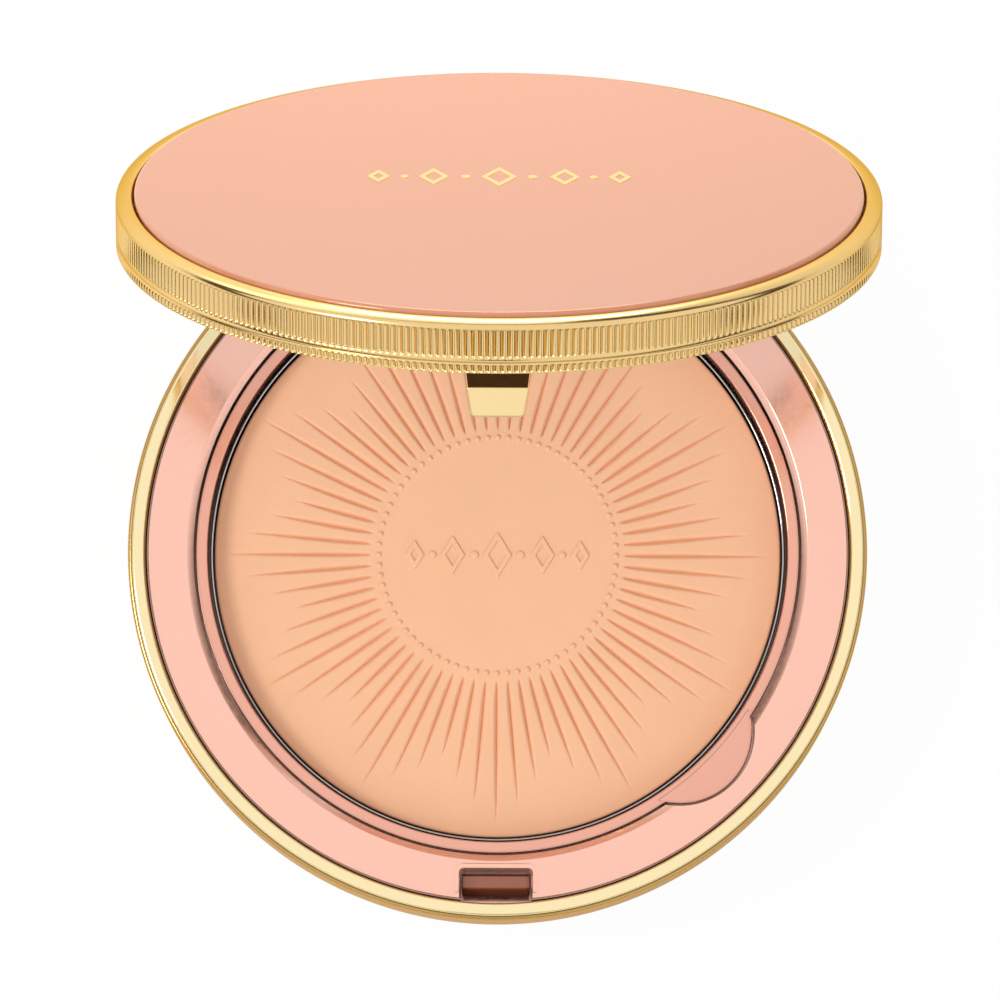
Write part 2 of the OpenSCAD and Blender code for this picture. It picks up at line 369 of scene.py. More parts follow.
def make_grain_group():
    """Height and mask of a fine even grain; Size is the grain in metres."""
    group, start, end = new_group(
        "fine_grain",
        [("Vector", VECTOR, None), ("Size", FLOAT, 0.0005), ("Low", FLOAT, 0.3), ("High", FLOAT, 0.7)],
        [("Height", FLOAT), ("Value", FLOAT)])
    scale = math_node(group, "DIVIDE", 1.0, start.outputs["Size"])
    grain = noise_node(group, start.outputs["Vector"], scale, 4.0)
    ramp = group.nodes.new("ShaderNodeMapRange")
    group.links.new(grain, ramp.inputs["Value"])
    ramp.inputs["From Min"].default_value = 0.3
    ramp.inputs["From Max"].default_value = 0.7
    group.links.new(start.outputs["Low"], ramp.inputs["To Min"])
    group.links.new(start.outputs["High"], ramp.inputs["To Max"])
    group.links.new(grain, end.inputs["Height"])
    group.links.new(ramp.outputs[0], end.inputs["Value"])
    return group


def make_turned_group():
    """Lines that run round the axis of a turned part, as a lathe leaves them."""
    group, start, end = new_group(
        "turned_grain",
        [("Vector", VECTOR, None), ("Spacing", FLOAT, 0.0002), ("Low", FLOAT, 0.2), ("High", FLOAT, 0.3)],
        [("Height", FLOAT), ("Value", FLOAT)])
    parts = group.nodes.new("ShaderNodeSeparateXYZ")
    group.links.new(start.outputs["Vector"], parts.inputs[0])
    squares = math_node(group, "ADD", math_node(group, "MULTIPLY", parts.outputs[0], parts.outputs[0]),
                        math_node(group, "MULTIPLY", parts.outputs[1], parts.outputs[1]))
    radius = math_node(group, "SQRT", squares)
    joined = group.nodes.new("ShaderNodeCombineXYZ")
    group.links.new(radius, joined.inputs[0])
    group.links.new(parts.outputs[2], joined.inputs[1])
    scale = math_node(group, "DIVIDE", 1.0, start.outputs["Spacing"])
    lines = noise_node(group, joined.outputs[0], scale, 2.0)
    ramp = group.nodes.new("ShaderNodeMapRange")
    group.links.new(lines, ramp.inputs["Value"])
    ramp.inputs["From Min"].default_value = 0.3
    ramp.inputs["From Max"].default_value = 0.7
    group.links.new(start.outputs["Low"], ramp.inputs["To Min"])
    group.links.new(start.outputs["High"], ramp.inputs["To Max"])
    group.links.new(lines, end.inputs["Height"])
    group.links.new(ramp.outputs[0], end.inputs["Value"])
    return group


def make_haze_group():
    """Broad soft patches of handling haze, as a colour that fades two shades."""
    group, start, end = new_group(
        "handling_haze",
        [("Vector", VECTOR, None), ("Size", FLOAT, 0.012),
         ("Clean", "NodeSocketColor", None), ("Hazed", "NodeSocketColor", None)],
        [("Color", "NodeSocketColor")])
    scale = math_node(group, "DIVIDE", 1.0, start.outputs["Size"])
    patches = noise_node(group, start.outputs["Vector"], scale, 2.0)
    mix = group.nodes.new("ShaderNodeMix")
    mix.data_type = "RGBA"
    group.links.new(patches, mix.inputs["Factor"])
    group.links.new(start.outputs["Clean"], mix.inputs["A"])
    group.links.new(start.outputs["Hazed"], mix.inputs["B"])
    group.links.new(mix.outputs["Result"], end.inputs["Color"])
    return group


def make_crevice_group():
    """Paints shade into a colour where the surface is close to another: painted crevice shade."""
    group, start, end = new_group(
        "crevice_shade",
        [("Color", "NodeSocketColor", None), ("Reach", FLOAT, 0.0006), ("Depth", FLOAT, 1.0)],
        [("Color", "NodeSocketColor")])
    near = group.nodes.new("ShaderNodeAmbientOcclusion")
    near.samples = 6
    group.links.new(start.outputs["Reach"], near.inputs["Distance"])
    openness = math_node(group, "POWER", near.outputs["AO"], start.outputs["Depth"])
    mix = group.nodes.new("ShaderNodeMix")
    mix.data_type = "RGBA"
    group.links.new(openness, mix.inputs["Factor"])
    # the colour of the painted shade where the surface is most enclosed
    mix.inputs["A"].default_value = (0.012, 0.006, 0.004, 1)
    group.links.new(start.outputs["Color"], mix.inputs["B"])
    group.links.new(mix.outputs["Result"], end.inputs["Color"])
    return group


GRAIN = make_grain_group()
CREVICE = make_crevice_group()
TURNED = make_turned_group()
HAZE = make_haze_group()

# %% [markdown]
# ## Materials
# Each finish is one Principled shader. Its constants sit on the shader's own sockets,
# and the groups drive what varies over the surface: colour, roughness and bump. The
# lid's materials first turn the Object coordinates shut, so that turned lines run
# round the lid's own axis.

# %% Material builder


def shaded(color, amount):
    """A colour made darker or lighter by a factor."""
    return tuple(min(1.0, c * amount) for c in color[:3]) + (1.0,)


def make_material(name, color, roughness, metallic=0.0, coat=0.0, grain=0.0004, bump=0.02,
                  turned=False, on_lid=False, vary=0.95, spread_rough=0.04, haze_size=0.012,
                  specular=0.5, sheen=0.0, subsurface=0.0, crevice=0.0, depth=1.6,
                  edge_tint=(1.0, 1.0, 1.0, 1.0)):
    """A finish with colour haze, varied roughness and a fine bump."""
    material = bpy.data.materials.new(name)
    material.use_nodes = True
    tree = material.node_tree
    shader = tree.nodes["Principled BSDF"]
    shader.inputs["Metallic"].default_value = metallic
    shader.inputs["Coat Weight"].default_value = coat
    shader.inputs["Coat Roughness"].default_value = 0.04
    shader.inputs["Specular IOR Level"].default_value = specular
    shader.inputs["Specular Tint"].default_value = edge_tint
    shader.inputs["Sheen Weight"].default_value = sheen
    if subsurface:
        shader.inputs["Subsurface Weight"].default_value = subsurface
        shader.inputs["Subsurface Scale"].default_value = 0.001
        shader.inputs["Subsurface Radius"].default_value = (1.0, 0.6, 0.4)
    coords = tree.nodes.new("ShaderNodeTexCoord")
    place = coords.outputs["Object"]
    if on_lid:
        # undo the opening: move the hinge to the origin, turn, and move it back
        to_hinge = tree.nodes.new("ShaderNodeMapping")
        to_hinge.inputs["Location"].default_value = -HINGE_AT
        tree.links.new(place, to_hinge.inputs["Vector"])
        turn_shut = tree.nodes.new("ShaderNodeMapping")
        turn_shut.inputs["Rotation"].default_value = (OPEN, 0, 0)
        turn_shut.inputs["Location"].default_value = HINGE_AT
        tree.links.new(to_hinge.outputs[0], turn_shut.inputs["Vector"])
        place = turn_shut.outputs[0]
    haze = tree.nodes.new("ShaderNodeGroup")
    haze.node_tree = HAZE
    haze.inputs["Size"].default_value = haze_size
    haze.inputs["Clean"].default_value = color
    haze.inputs["Hazed"].default_value = shaded(color, vary)
    tree.links.new(place, haze.inputs["Vector"])
    color_out = haze.outputs["Color"]
    # painted shade: the base colour darkens near other surfaces
    if crevice:
        shade = tree.nodes.new("ShaderNodeGroup")
        shade.node_tree = CREVICE
        shade.inputs["Reach"].default_value = crevice * MM
        shade.inputs["Depth"].default_value = depth
        tree.links.new(color_out, shade.inputs["Color"])
        color_out = shade.outputs["Color"]
    tree.links.new(color_out, shader.inputs["Base Color"])
    surface = tree.nodes.new("ShaderNodeGroup")
    surface.node_tree = TURNED if turned else GRAIN
    surface.inputs["Spacing" if turned else "Size"].default_value = grain
    surface.inputs["Low"].default_value = max(0.0, roughness - spread_rough)
    surface.inputs["High"].default_value = min(1.0, roughness + spread_rough)
    tree.links.new(place, surface.inputs["Vector"])
    tree.links.new(surface.outputs["Value"], shader.inputs["Roughness"])
    if bump:
        relief = tree.nodes.new("ShaderNodeBump")
        relief.inputs["Strength"].default_value = 1.0
        relief.inputs["Distance"].default_value = bump * MM
        tree.links.new(surface.outputs["Height"], relief.inputs["Height"])
        tree.links.new(relief.outputs[0], shader.inputs["Normal"])
    return material


# %% The finishes
# crevice and depth set the reach and strength of shade painted into the colour near other surfaces
rose_gloss = make_material("rose_gloss", ROSE, 0.13, metallic=0.8, coat=0.2, grain=0.0006,
                           bump=0.0008, vary=0.985, crevice=0.45, depth=1.6)
rose_tray = make_material("rose_tray", ROSE_TRAY_SHADED, 0.12, metallic=0.8, coat=0.2, grain=0.0006,
                          bump=0.0008, vary=0.97, crevice=0.6, depth=2.2)
rose_lid = make_material("rose_lid", ROSE_PALE, 0.13, metallic=0.8, coat=0.2, grain=0.0006,
                         bump=0.0008, vary=0.985, on_lid=True)
rose_lacquer = make_material("rose_lacquer", ROSE_LACQUER, 0.14, metallic=0.1, coat=0.08,
                             grain=0.0008, bump=0.0006, vary=0.985, on_lid=True,
                             specular=0.32)
rose_matte = make_material("rose_matte", shaded(ROSE, 0.85), 0.5, grain=0.0004, bump=0.004)
gold_ring = make_material("gold_ring", GOLD_POLISHED, 0.08, metallic=1.0, grain=0.0003,
                          bump=0.0004, turned=True, vary=0.98, spread_rough=0.02,
                          edge_tint=GOLD_EDGE)
gold_satin = make_material("gold_satin", GOLD_SATIN, 0.24, metallic=1.0, grain=0.00012,
                           bump=0.0012, turned=True, vary=0.95, spread_rough=0.06,
                           crevice=0.4, edge_tint=GOLD_EDGE)
gold_bezel = make_material("gold_bezel", GOLD_BEZEL, 0.17, metallic=1.0, grain=0.00012,
                           bump=0.0008, turned=True, on_lid=True, vary=0.96, spread_rough=0.05,
                           edge_tint=GOLD_EDGE)
gold_hook = make_material("gold_hook", GOLD_HOOK, 0.07, metallic=1.0, grain=0.0005,
                          bump=0.0003, on_lid=True, vary=0.96, spread_rough=0.02,
                          edge_tint=GOLD_EDGE)
gold_foil = make_material("gold_foil", seen(248, 214, 130), 0.18, metallic=1.0, grain=0.0004,
                          bump=0.001, on_lid=True, vary=0.94)
catch_brown = make_material("catch_brown", CATCH_SHADED_BROWN, 0.15, metallic=0.6, coat=0.3,
                            grain=0.0006, bump=0.001, crevice=0.7)
steel = make_material("steel", STEEL, 0.25, metallic=1.0, grain=0.0002, bump=0.001)
pan_metal = make_material("pan_metal", PAN_METAL, 0.07, metallic=1.0, grain=0.00015,
                          bump=0.0002, turned=True, spread_rough=0.02, crevice=0.7,
                          depth=3.0)
adhesive = make_material("adhesive", ADHESIVE, 0.7, grain=0.0005, bump=0.01)
mirror_silver = make_material("mirror_silver", seen(238, 241, 242), 0.015, metallic=1.0,
                              grain=0.004, bump=0.0, vary=0.99, spread_rough=0.01, on_lid=True)
puff_foam = make_material("puff_foam", PUFF, 0.85, grain=0.0003, bump=0.05, sheen=0.3)
print(len(bpy.data.materials), "materials so far")

# %% [markdown]
# ### Pressed powder
# Pressed powder is matte and slightly mottled, with a fine tooth from the press cloth.
# The grain is drawn at two sizes: a fine tooth in the bump, and faint clouds in the
# colour where the powder packed more or less tightly.

# %% Powder material
powder = make_material("powder", POWDER, 0.9, grain=0.00022, bump=0.02, vary=0.93,
                       spread_rough=0.05, haze_size=0.006, specular=0.15)

# %% [markdown]
# ## Base shell
# The lower case is a deep-drawn gold cup: a straight side that curves in to a flat
# foot. It is spun from its outline, and the hinge's channel is cut at the back.

# %% Base shell
FOOT_R = 30.5
SHOULDER_H = 0.4
RING_R = CASE_R / MM - 0.42
BELLY_Z = 9.2
WALL = 1.8
CASE_MM = CASE_R / MM


def belly_curve(steps=28):
    """A quarter ellipse from the foot up to the straight side, in millimetres."""
    angles = [math.radians(90 * i / steps) for i in range(steps + 1)]
    return [(FOOT_R + (CASE_MM - FOOT_R) * math.sin(a), BELLY_Z * (1 - math.cos(a))) for a in angles]


def hinge_channel(half_mm, z0, z1, r0=None):
    """A curved block at the back that clears part of the hinge."""
    inner = (r0 or CASE_MM - WALL + 0.6) * MM
    outer = CASE_R + 5 * MM
    half = half_mm * MM / CASE_R
    outline = [(inner, z0), (outer, z0), (outer, z1), (inner, z1)]
    return spun_wedge(outline, math.pi / 2 - half, 2 * half)


def make_base_shell():
    bore = CASE_MM - WALL
    top_z = RING_Z / MM
    bottom_pocket = FOOT_R - 2.45
    outline = ([(0, 0.6), (bottom_pocket, 0.6), (bottom_pocket, 0.05), (bottom_pocket + 0.05, 0)]
               + belly_curve()
               + arc(CASE_MM - 0.35, top_z + SHOULDER_H - 0.35, 0.35, 0, 90, 8)
               + [(RING_R + 0.03, top_z + SHOULDER_H), (RING_R + 0.03, top_z), (bore, top_z),
                  (bore, 8), (33.2, 1.4), (0, 1.4)])
    shell = as_object(spun(spread(outline), steps=256), "base_shell_turned")
    z_low = HINGE_AT.z - 2.2 * MM
    carve(shell, hinge_channel(5.5, z_low, PART_Z + MM))
    carve(shell, hinge_channel(11.2, z_low, HINGE_AT.z + 2 * MM))
    return dress(shell, gold_satin, "base", ["base_shell"], sharp=28)


make_base_shell()

# %% [markdown]
# ## Trim ring
# A polished ring caps the rim. Its inner edge is rolled down towards the platform. Its
# outer edge stands clear of the satin shell's shoulder, and the gap between the two
# finishes draws a thin dark line.

# %% Trim ring


def make_trim_ring():
    r_in = CASE_MM - WALL + 0.1
    z0 = RING_Z / MM
    z1 = PART_Z / MM
    outline = ([(RING_R - 0.08, z0 + 0.02), (r_in, z0 + 0.02), (r_in, z0 + 0.3)]
               + arc(r_in + 0.22, z1 - 0.22, 0.22, 180, 92, 6)
               + arc(RING_R - 0.3, z1 - 0.3, 0.3, 88, 0, 8)
               + [(RING_R - 0.08, z0 + SHOULDER_H + 0.1)])
    ring = as_object(spun(spread(outline), steps=360), "trim_ring_rolled")
    carve(ring, hinge_channel(5.5, RING_Z - MM, PART_Z + MM))
    return dress(ring, gold_ring, "base", ["trim_ring"], sharp=40)


make_trim_ring()

# %% [markdown]
# ## Inner frame
# The rose platform is one moulding. It is spun, then the openings are cut out of it
# with booleans: the finger tab's pocket, the wider pocket at the tray's rear, the
# hinge pocket and the latch slot, which has a low raised border round it.

# %% Inner frame
WELL_R = 31.65
TAB_R = 7.5
TAB_DIST = 26.7
TAB_ANGLE = math.radians(-44.5)
TAB_AT = (TAB_DIST * math.cos(TAB_ANGLE) * MM, TAB_DIST * math.sin(TAB_ANGLE) * MM)
FLANGE_R = 33.6
FLANGE_HALF = 22.4
SEAM = 0.25
SLOPE_W = 0.64
SLOPE = math.radians(40)
SLOT_W = 7.4
SLOT_BACK = -33.15


def rear_wing(grow, z0, z1):
    """The tray's wider rear edge, as a solid to cut or join."""
    wing = as_object(post(0, 0, (FLANGE_R + grow) * MM, z0, z1, steps=256), "wing")
    side = (FLANGE_HALF + grow) * MM
    carve(wing, block(-side, side, 15 * MM, 60 * MM, z0 - MM, z1 + MM), "INTERSECT")
    bm = bmesh.new()
    bm.from_mesh(wing.data)
    bpy.data.objects.remove(wing)
    return bm


# Height above the platform's face and spread of the slot's rounded edge, in millimetres
SLOT_EDGE = ((-0.16, 0.02), (-0.06, 0.07), (0.06, 0.16), (2.0, 0.17))


def slot_cutter(z0):
    """The latch slot's cutter: a block with round corners that flares out at the top."""
    half_x = SLOT_W / 2 * MM
    y_far = -44 * MM
    y_near = SLOT_BACK * MM
    bm = block(-half_x, half_x, y_far, y_near, z0, PLATFORM_Z - 0.3 * MM)
    corners = [e for e in bm.edges if abs(e.verts[0].co.z - e.verts[1].co.z) > MM]
    bmesh.ops.bevel(bm, geom=corners, offset=0.5 * MM, offset_type="OFFSET", segments=5,
                    profile=0.5, affect="EDGES", material=-1)
    half_y = (y_near - y_far) / 2
    to_middle = Matrix.Translation((0, -(y_near + y_far) / 2, 0))
    top_face = max(bm.faces, key=lambda f: f.calc_center_median().z)
    spread_before = 0.0
    for rise, spread_out in SLOT_EDGE:
        top_face = bmesh.ops.extrude_discrete_faces(bm, faces=[top_face])["faces"][0]
        verts = top_face.verts[:]
        grow = (spread_out - spread_before) * MM
        bmesh.ops.scale(bm, verts=verts, space=to_middle,
                        vec=(1 + grow / half_x, 1 + grow / half_y, 1))
        up = PLATFORM_Z + rise * MM - verts[0].co.z
        bmesh.ops.translate(bm, vec=(0, 0, up), verts=verts)
        spread_before = spread_out
    bmesh.ops.recalc_face_normals(bm, faces=bm.faces[:])
    return bm


BORDER_HALF_X = 4.46
BORDER_FRONT = -35.6
BORDER_BACK = -32.5
BORDER_CORNER = 0.9
BORDER_SLOPE = 0.3


def slot_border():
    """A low plate with round corners that stands proud of the platform round the slot."""
    half_x = BORDER_HALF_X * MM
    y_mid = (BORDER_FRONT + BORDER_BACK) / 2 * MM
    bm = block(-half_x, half_x, BORDER_FRONT * MM, BORDER_BACK * MM,
               PLATFORM_Z - 0.04 * MM, PLATFORM_Z + 0.05 * MM)
    corners = [e for e in bm.edges if abs(e.verts[0].co.z - e.verts[1].co.z) > 0.05 * MM
               and e.verts[0].co.y > y_mid]
    bmesh.ops.bevel(bm, geom=corners, offset=BORDER_CORNER * MM, offset_type="OFFSET", segments=8,
                    profile=0.5, affect="EDGES", material=-1)
    top_verts = [v for v in bm.verts if v.co.z > PLATFORM_Z]
    inset = 1 - BORDER_SLOPE / BORDER_HALF_X
    bmesh.ops.scale(bm, verts=top_verts, vec=(inset, inset, 1),
                    space=Matrix.Translation((0, -y_mid, 0)))
    return bm


def make_inner_frame():
    z = PLATFORM_Z / MM
    seam_z = TRAY_Z / MM + 0.05
    foot_z = z - SLOPE_W * math.tan(SLOPE)
    lean = 90 + math.degrees(SLOPE)
    outline = ([(WELL_R, seam_z - 0.3), (WELL_R, foot_z)]
               + arc(WELL_R + SLOPE_W + 0.08, z - 0.2, 0.2, lean, 90, 5)
               + [(36.3, z), (36.35, z - 0.05), (36.35, z - 0.3), (36.5, z - 0.3), (36.5, 8.2),
                  (WELL_R + 1.2, 8.2), (WELL_R + 1.2, 1.8), (WELL_R, 1.4), (WELL_R, 6.4),
                  (29.8, 6.4), (29.8, 7.55), (WELL_R, 7.55)])
    piece = as_object(spun(spread(outline), steps=360), "inner_frame_moulded")
    low = TRAY_Z - 2.1 * MM
    high = PLATFORM_Z + 2 * MM
    carve(piece, post(*TAB_AT, (TAB_R + SEAM) * MM, low, high, steps=128))
    carve(piece, rear_wing(SEAM, low, high))
    carve(piece, block(-8.2 * MM, 8.2 * MM, 30 * MM, 34.15 * MM, 12.2 * MM, high))
    carve(piece, slot_border(), "UNION")
    carve(piece, slot_cutter(9 * MM))
    return dress(piece, rose_gloss, "base", ["inner_frame"], sharp=30)


make_inner_frame()

# %% [markdown]
# ## Tray
# The tray is the rose ring round the pan, coloured a little darker than the platform as painted shade
# from the collar. Its finger tab reaches out at the front right, and a wider edge at the rear holds its
# pin.

# %% Tray


def make_tray():
    z = TRAY_Z / MM
    outer = WELL_R - 0.22
    collar = PAN_R / MM + 0.24
    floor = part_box("powder_pan")[0][2] / MM - 0.2
    body = ([(0, 7.6), (outer - 0.45, 7.6), (outer, z - 1.7), (outer, z - 0.12)]
            + arc(outer - 0.12, z - 0.12, 0.12, 0, 90, 3)
            + arc(collar + 0.15, z - 0.27, 0.15, 90, 180, 4)
            + [(collar, floor), (0, floor)])
    piece = as_object(spun(spread(body), steps=360), "tray_moulded")
    low = TRAY_Z - 1.7 * MM
    tab = as_object(post(*TAB_AT, TAB_R * MM, low, TRAY_Z, steps=128), "tab")
    soften(tab, 0.12 * MM, 3)
    bm = bmesh.new()
    bm.from_mesh(tab.data)
    bpy.data.objects.remove(tab)
    ring_cut = post(0, 0, (outer - 0.6) * MM, low - MM, TRAY_Z + MM, steps=256)
    tab_piece = as_object(bm, "tab_only")
    carve(tab_piece, ring_cut)
    joined = bmesh.new()
    joined.from_mesh(tab_piece.data)
    bpy.data.objects.remove(tab_piece)
    carve(piece, joined, "UNION")
    wing = as_object(rear_wing(0, low, TRAY_Z), "wing_only")
    carve(wing, post(0, 0, (outer - 0.6) * MM, low - MM, TRAY_Z + MM, steps=256))
    joined = bmesh.new()
    joined.from_mesh(wing.data)
    bpy.data.objects.remove(wing)
    carve(piece, joined, "UNION")
    return dress(piece, rose_tray, "tray", sharp=30)


tray = make_tray()
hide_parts("tray")

# %% [markdown]
# ## Powder pan and powder
# The pan is a thin pressed cup, and only its rolled metal lip shows. The powder's face
# carries a pressed pattern: a ring of raised beads round a plain middle, and one sunken
# ray per bead that narrows to a point. The rays' tips trace a twelve-pointed star. The
# face is a spun sheet with enough columns that each ray's centre line falls on one,
# and the pattern is a height added to each point.

# %% Powder pan


def make_pan():
    r = PAN_R / MM
    z0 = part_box("powder_pan")[0][2] / MM
    z1 = PAN_Z / MM
    rim = 0.26
    outline = ([(0, z0)] + arc(r - 0.3, z0 + 0.3, 0.3, -90, 0, 4)
               + arc(r - rim / 2, z1 - rim / 2, rim / 2, 0, 180, 8)
               + [(r - rim, z0 + 0.4), (0, z0 + 0.4)])
    pan = as_object(spun(spread(outline), steps=256), "powder_pan_pressed")
    return dress(pan, pan_metal, "tray", ["powder_pan"], sharp=50)


pan = make_pan()

# %% Powder relief
RAYS = 72
BEAD_RING = 12.4
BEAD_R = 0.27
BEAD_TALL = 0.27
RAY_START = 13.25
RAY_HALF_WIDTH = 0.33
RAY_DEPTH = 0.52


def ray_tip(index):
    """Radius where a ray ends: the tips make a star with a point every 30 degrees."""
    step = index % 6
    return {0: 28.3, 1: 26.2, 2: 24.0, 3: 21.9, 4: 24.0, 5: 26.2}[step]


def relief(radius, angle):
    """Height of the pressed pattern in millimetres at a polar place in millimetres."""
    pitch = 2 * math.pi / RAYS
    index = round(angle / pitch)
    off_axis = abs(angle - index * pitch) * radius
    height = 0.0
    if abs(radius - BEAD_RING) < BEAD_R:
        away = math.hypot(radius - BEAD_RING, off_axis) / BEAD_R
        if away < 1:
            height += BEAD_TALL * math.sqrt(1 - away * away)
    tip = ray_tip(index % RAYS)
    if RAY_START < radius < tip:
        along = (radius - RAY_START) / (tip - RAY_START)
        half = RAY_HALF_WIDTH * along ** 0.35 * (1 - along) ** 0.8 / 0.5
        if off_axis < half:
            share = off_axis / half
            height -= RAY_DEPTH * (half / RAY_HALF_WIDTH) * (1 - share) ** 1.1
    return height


def make_cake():
    r = CAKE_R / MM
    z = POWDER_Z / MM
    z0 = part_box("powder_cake")[0][2] / MM
    columns = RAYS * 16
    rows = [0.0, 4.0, 8.0, 11.0, 12.05]
    rows += [12.1 + 0.06 * i for i in range(11)]
    rows += [12.75, 13.0, 13.25]
    rows += [RAY_START + (28.4 - RAY_START) * ((i + 1) / 44) ** 1.15 for i in range(44)]
    rows += [r - 0.5]
    outline = ([(0.0, z0), (r - 0.02, z0), (r - 0.02, z - 0.3)]
               + arc(r - 0.27, z - 0.25, 0.25, 0, 90, 4)
               + [(row, z) for row in reversed(rows)])
    bm = spun_in_sectors(spread(outline), columns, RAYS // 2, closed=False)
    for v in bm.verts:
        radius = math.hypot(v.co.x, v.co.y) / MM
        if v.co.z > (z - 0.001) * MM and 12 < radius < 28.5:
            v.co.z += relief(radius, math.atan2(v.co.x, v.co.y)) * MM
    bmesh.ops.recalc_face_normals(bm, faces=bm.faces[:])
    cake = as_object(bm, "powder_cake_pressed")
    return dress(cake, powder, "tray", ["powder_cake"], sharp=60, flat_faces=False)


cake = make_cake()

# %% [markdown]
# ## A plain ornament
# The middle of the powder and the lid's face each carry the same modest ornament: open
# lozenges and dots that get smaller towards the ends. It stands in low relief on the
# powder and is laid on the lid as gold foil. Each lozenge is a four-sided circle that is
# inset to a frame and raised.

# %% Lozenge row
LOZENGES = ((0.0, 1.0), (0.5, 0.85), (0.92, 0.65))
DOTS = ((0.255, 0.17), (0.72, 0.15))


def raise_faces(bm, faces, height):
    """Turns flat faces into closed low solids of a height in metres."""
    grown = bmesh.ops.extrude_face_region(bm, geom=faces)["geom"]
    verts = [g for g in grown if isinstance(g, bmesh.types.BMVert)]
    bmesh.ops.translate(bm, vec=(0, 0, height), verts=verts)


def lozenge_row(half_width, half_tall, stroke, height):
    """Open lozenges with dots between them, as low solids centred on the origin."""
    bm = bmesh.new()
    for share, size in LOZENGES:
        for side in ((1,) if share == 0 else (1, -1)):
            verts = bmesh.ops.create_circle(bm, cap_ends=True, segments=4, radius=1.0)["verts"]
            bmesh.ops.scale(bm, vec=(half_tall * size * 0.62, half_tall * size, 1), verts=verts)
            bmesh.ops.translate(bm, vec=(side * share * half_width, 0, 0), verts=verts)
            middle = verts[0].link_faces[0]
            frame_faces = bmesh.ops.inset_region(bm, faces=[middle], thickness=stroke,
                                                 use_boundary=True, use_even_offset=True)["faces"]
            bmesh.ops.delete(bm, geom=[middle], context="FACES_ONLY")
            raise_faces(bm, frame_faces, height)
    for share, size in DOTS:
        for side in (1, -1):
            verts = bmesh.ops.create_circle(bm, cap_ends=True, segments=16,
                                            radius=half_tall * size)["verts"]
            bmesh.ops.translate(bm, vec=(side * share * half_width, 0, 0), verts=verts)
            raise_faces(bm, [verts[0].link_faces[0]], height)
    bmesh.ops.recalc_face_normals(bm, faces=bm.faces[:])
    return bm


def make_powder_ornament():
    bm = lozenge_row(9.4 * MM, 2.4 * MM, 0.46 * MM, 0.3 * MM)
    bmesh.ops.translate(bm, vec=(0, 0, POWDER_Z - 0.12 * MM), verts=bm.verts[:])
    piece = as_object(bm, "powder_ornament")
    soften(piece, 0.09 * MM, 3)
    return dress(piece, powder, "tray", sharp=60)


make_powder_ornament()

# %% [markdown]
# ## Latch catch
# A glossy block in the slot carries a sloped nose that the lid's hook snaps over. Its dark rose-brown
# colour is partly the catch's own tone and partly painted shade of the recessed slot.

# %% Latch catch


def make_catch():
    """The catch's side outline, extruded across the slot and rounded."""
    low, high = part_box("latch_catch")
    side = [(high[1], low[2]), (high[1], high[2] - 0.2 * MM), (high[1] - 0.2 * MM, high[2]),
            (-34.9 * MM, high[2]), (-35.12 * MM, high[2] - 0.12 * MM), (low[1], 13.4 * MM),
            (low[1], 13.2 * MM), (-35.3 * MM, 12.75 * MM), (-35.3 * MM, low[2])]
    bm = bmesh.new()
    face = bm.faces.new([bm.verts.new((low[0], y, z)) for y, z in side])
    wall = bmesh.ops.extrude_face_region(bm, geom=[face])
    moved = [g for g in wall["geom"] if isinstance(g, bmesh.types.BMVert)]
    bmesh.ops.translate(bm, vec=(high[0] - low[0], 0, 0), verts=moved)
    bmesh.ops.recalc_face_normals(bm, faces=bm.faces[:])
    piece = as_object(bm, "latch_catch_moulded")
    soften(piece, 0.09 * MM, 3, angle=15)
    return dress(piece, catch_brown, "base", ["latch_catch"], sharp=50)


make_catch()

# %% [markdown]
# ## Lid bezel
# The lid's rim is a gold ring with two rows of fine upright flutes under a smooth rolled
# edge. The fluted band's outline is spun with eight columns to each flute, and its points
# are pushed in between the ribs, less and less towards each row's ends, so that every
# groove closes in a round tip. The rolled edge is smooth, so it is spun apart with
# fewer steps.

# %% Fluted band
FLUTES = 344
COLUMNS_PER_FLUTE = 8
FLUTE_DEPTH = 0.2
FLUTE_TIP = 0.22
SHORT_BAND = (0.12, 0.95)
TALL_BAND = (1.62, 4.5)
BAND_TOP = 4.55
BAND_WALL = 1.25


def band_rows(low, high):
    """Heights of the rows of one fluted band, close together at its two ends."""
    ends = [0.0, 0.05, 0.12, FLUTE_TIP]
    return [low + e for e in ends] + [high - e for e in reversed(ends)]


def groove(height, low, high, across):
    """How far a point of a band sits in: 0 on a rib's crown, 1 at the bottom of a groove."""
    end = min(height - low, high - height)
    if end <= 0:
        return 0.0
    closing = min(1.0, end / FLUTE_TIP)
    round_tip = math.sqrt(1 - (1 - closing) ** 2)
    return round_tip * (1 - abs(math.cos(across)))


def make_band():
    base = PART_Z / MM
    r = CASE_MM
    rows = [(r - 0.1, base + 0.05), (r - 0.02, base + 0.08)]
    rows += [(r, base + z) for z in band_rows(*SHORT_BAND)]
    rows += [(r - 0.02, base + 0.98), (r - 0.12, base + 1.03), (r - 0.12, base + 1.12),
             (r - 0.03, base + 1.18), (r, base + 1.24), (r, base + 1.45)]
    rows += [(r, base + z) for z in band_rows(*TALL_BAND)]
    rows += [(r, base + BAND_TOP), (r - BAND_WALL, base + BAND_TOP), (r - BAND_WALL, base + 0.05)]
    bm = spun_in_sectors(spread(rows), FLUTES * COLUMNS_PER_FLUTE, 43)
    for v in bm.verts:
        radius = math.hypot(v.co.x, v.co.y)
        if abs(radius - CASE_R) > 0.001 * MM:
            continue
        height = v.co.z / MM - base
        across = math.atan2(v.co.y, v.co.x) * FLUTES / 2
        depth = max(groove(height, *SHORT_BAND, across), groove(height, *TALL_BAND, across))
        factor = 1 - depth * FLUTE_DEPTH * MM / CASE_R
        v.co.x *= factor
        v.co.y *= factor
    band = as_object(bm, "lid_bezel_fluted")
    swing_open(band)
    return dress(band, gold_bezel, "lid", ["lid_bezel"], sharp=70,
                 flat_faces=False)


band = make_band()

# %% Rolled rim
ROLL_R = 0.45
CROWN_R = 2.2


